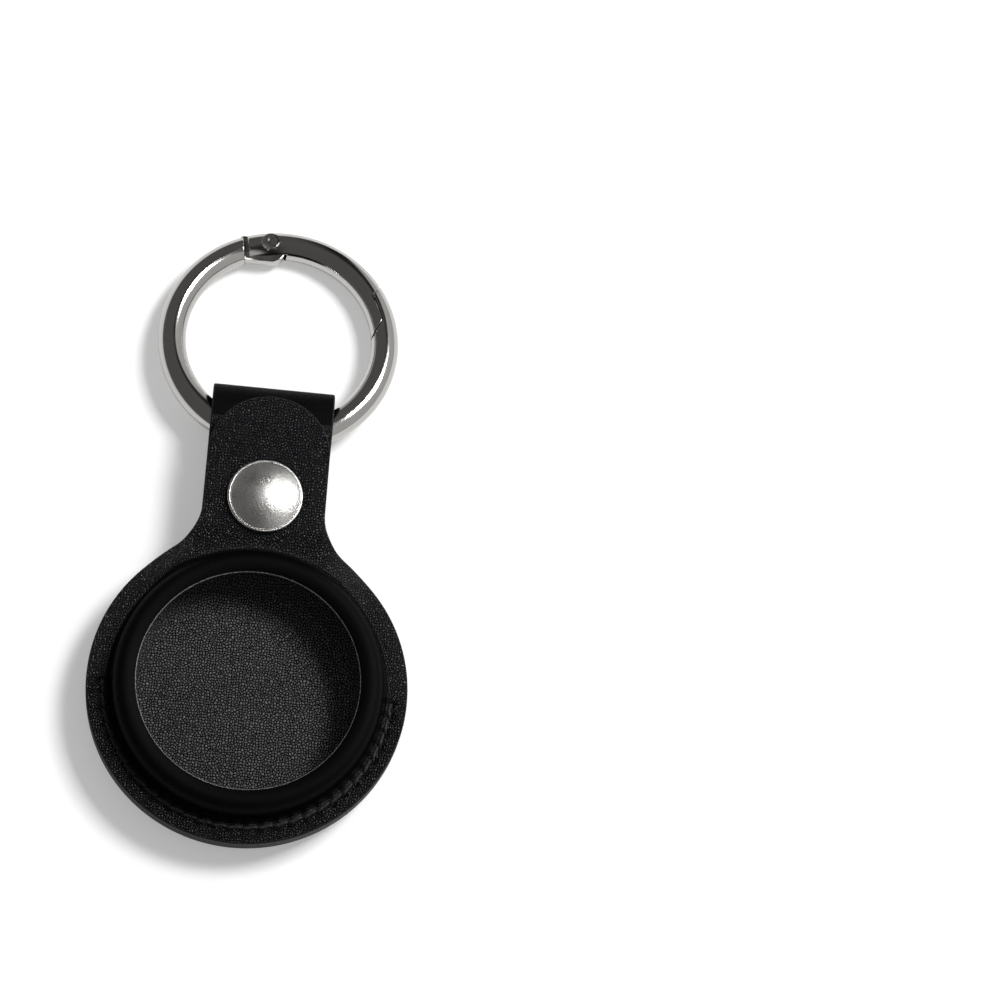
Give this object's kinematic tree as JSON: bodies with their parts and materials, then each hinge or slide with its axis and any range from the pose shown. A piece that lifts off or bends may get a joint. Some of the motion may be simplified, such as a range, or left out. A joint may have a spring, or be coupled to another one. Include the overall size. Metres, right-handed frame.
{
  "type": "tracker tag holder",
  "caption": "Leather holder for a round tracker tag with a stitched rim round a window, a snap-closed strap and a spring gate ring.",
  "frame": {"origin": "on the pocket's axis, at the flat bottom of the domed back", "axes": "+Z out of the window, +Y along the strap towards the ring, +X to the right seen from the front"},
  "size_m": [0.0422, 0.0868, 0.0114],
  "materials": {
    "leather": "black pebble grain, coated",
    "lining": "black fine grain",
    "thread": "black waxed thread",
    "print": "smooth blue print",
    "nickel": "polished nickel plate",
    "spring_steel": "bright spring wire"
  },
  "bodies": {
    "holder": {"back_panel": "leather", "back_lining": "lining", "front_panel": "leather", "needle_thread": "thread", "bobbin_thread": "thread", "print_disc": "print", "snap_stud": "nickel", "rear_post": "nickel", "rear_cap": "nickel"},
    "flap": {"front_flap": "leather", "front_cap": "nickel", "front_post": "nickel", "snap_socket": "nickel", "socket_spring": "spring_steel"},
    "ring": {"ring_body": "nickel", "gate_pin": "nickel"},
    "gate": {"ring_gate": "nickel", "gate_spring": "spring_steel"},
    "pusher": {"gate_pusher": "spring_steel"}
  },
  "joints": [
    {"name": "flap_lift", "type": "hinge", "parent": "holder", "child": "flap", "pos_m": [0, 0, 0.0076], "axis": [1, 0, 0], "range_deg": [0, 40]},
    {"name": "ring_swing", "type": "hinge", "parent": "holder", "child": "ring", "pos_m": [0, 0.03645, 0.00441], "axis": [1, 0, 0], "range_deg": [-85, 100]},
    {"name": "gate_swing", "type": "hinge", "parent": "ring", "child": "gate", "pos_m": [-0.00227, 0.06365, 0.00199], "axis": [0, -0.0885, -0.9961], "range_deg": [0, 28], "stiffness_Nm_per_rad": 0.02, "springref_deg": -20.05},
    {"name": "pusher_slide", "type": "slide", "parent": "gate", "child": "pusher", "axis": [0.9877, 0.1558, -0.0138], "range_m": [0, 0.00027]}
  ],
  "couplings": [
    {"joint": "pusher_slide", "follows": "gate_swing", "m_per_rad": 0.00055}
  ]
}
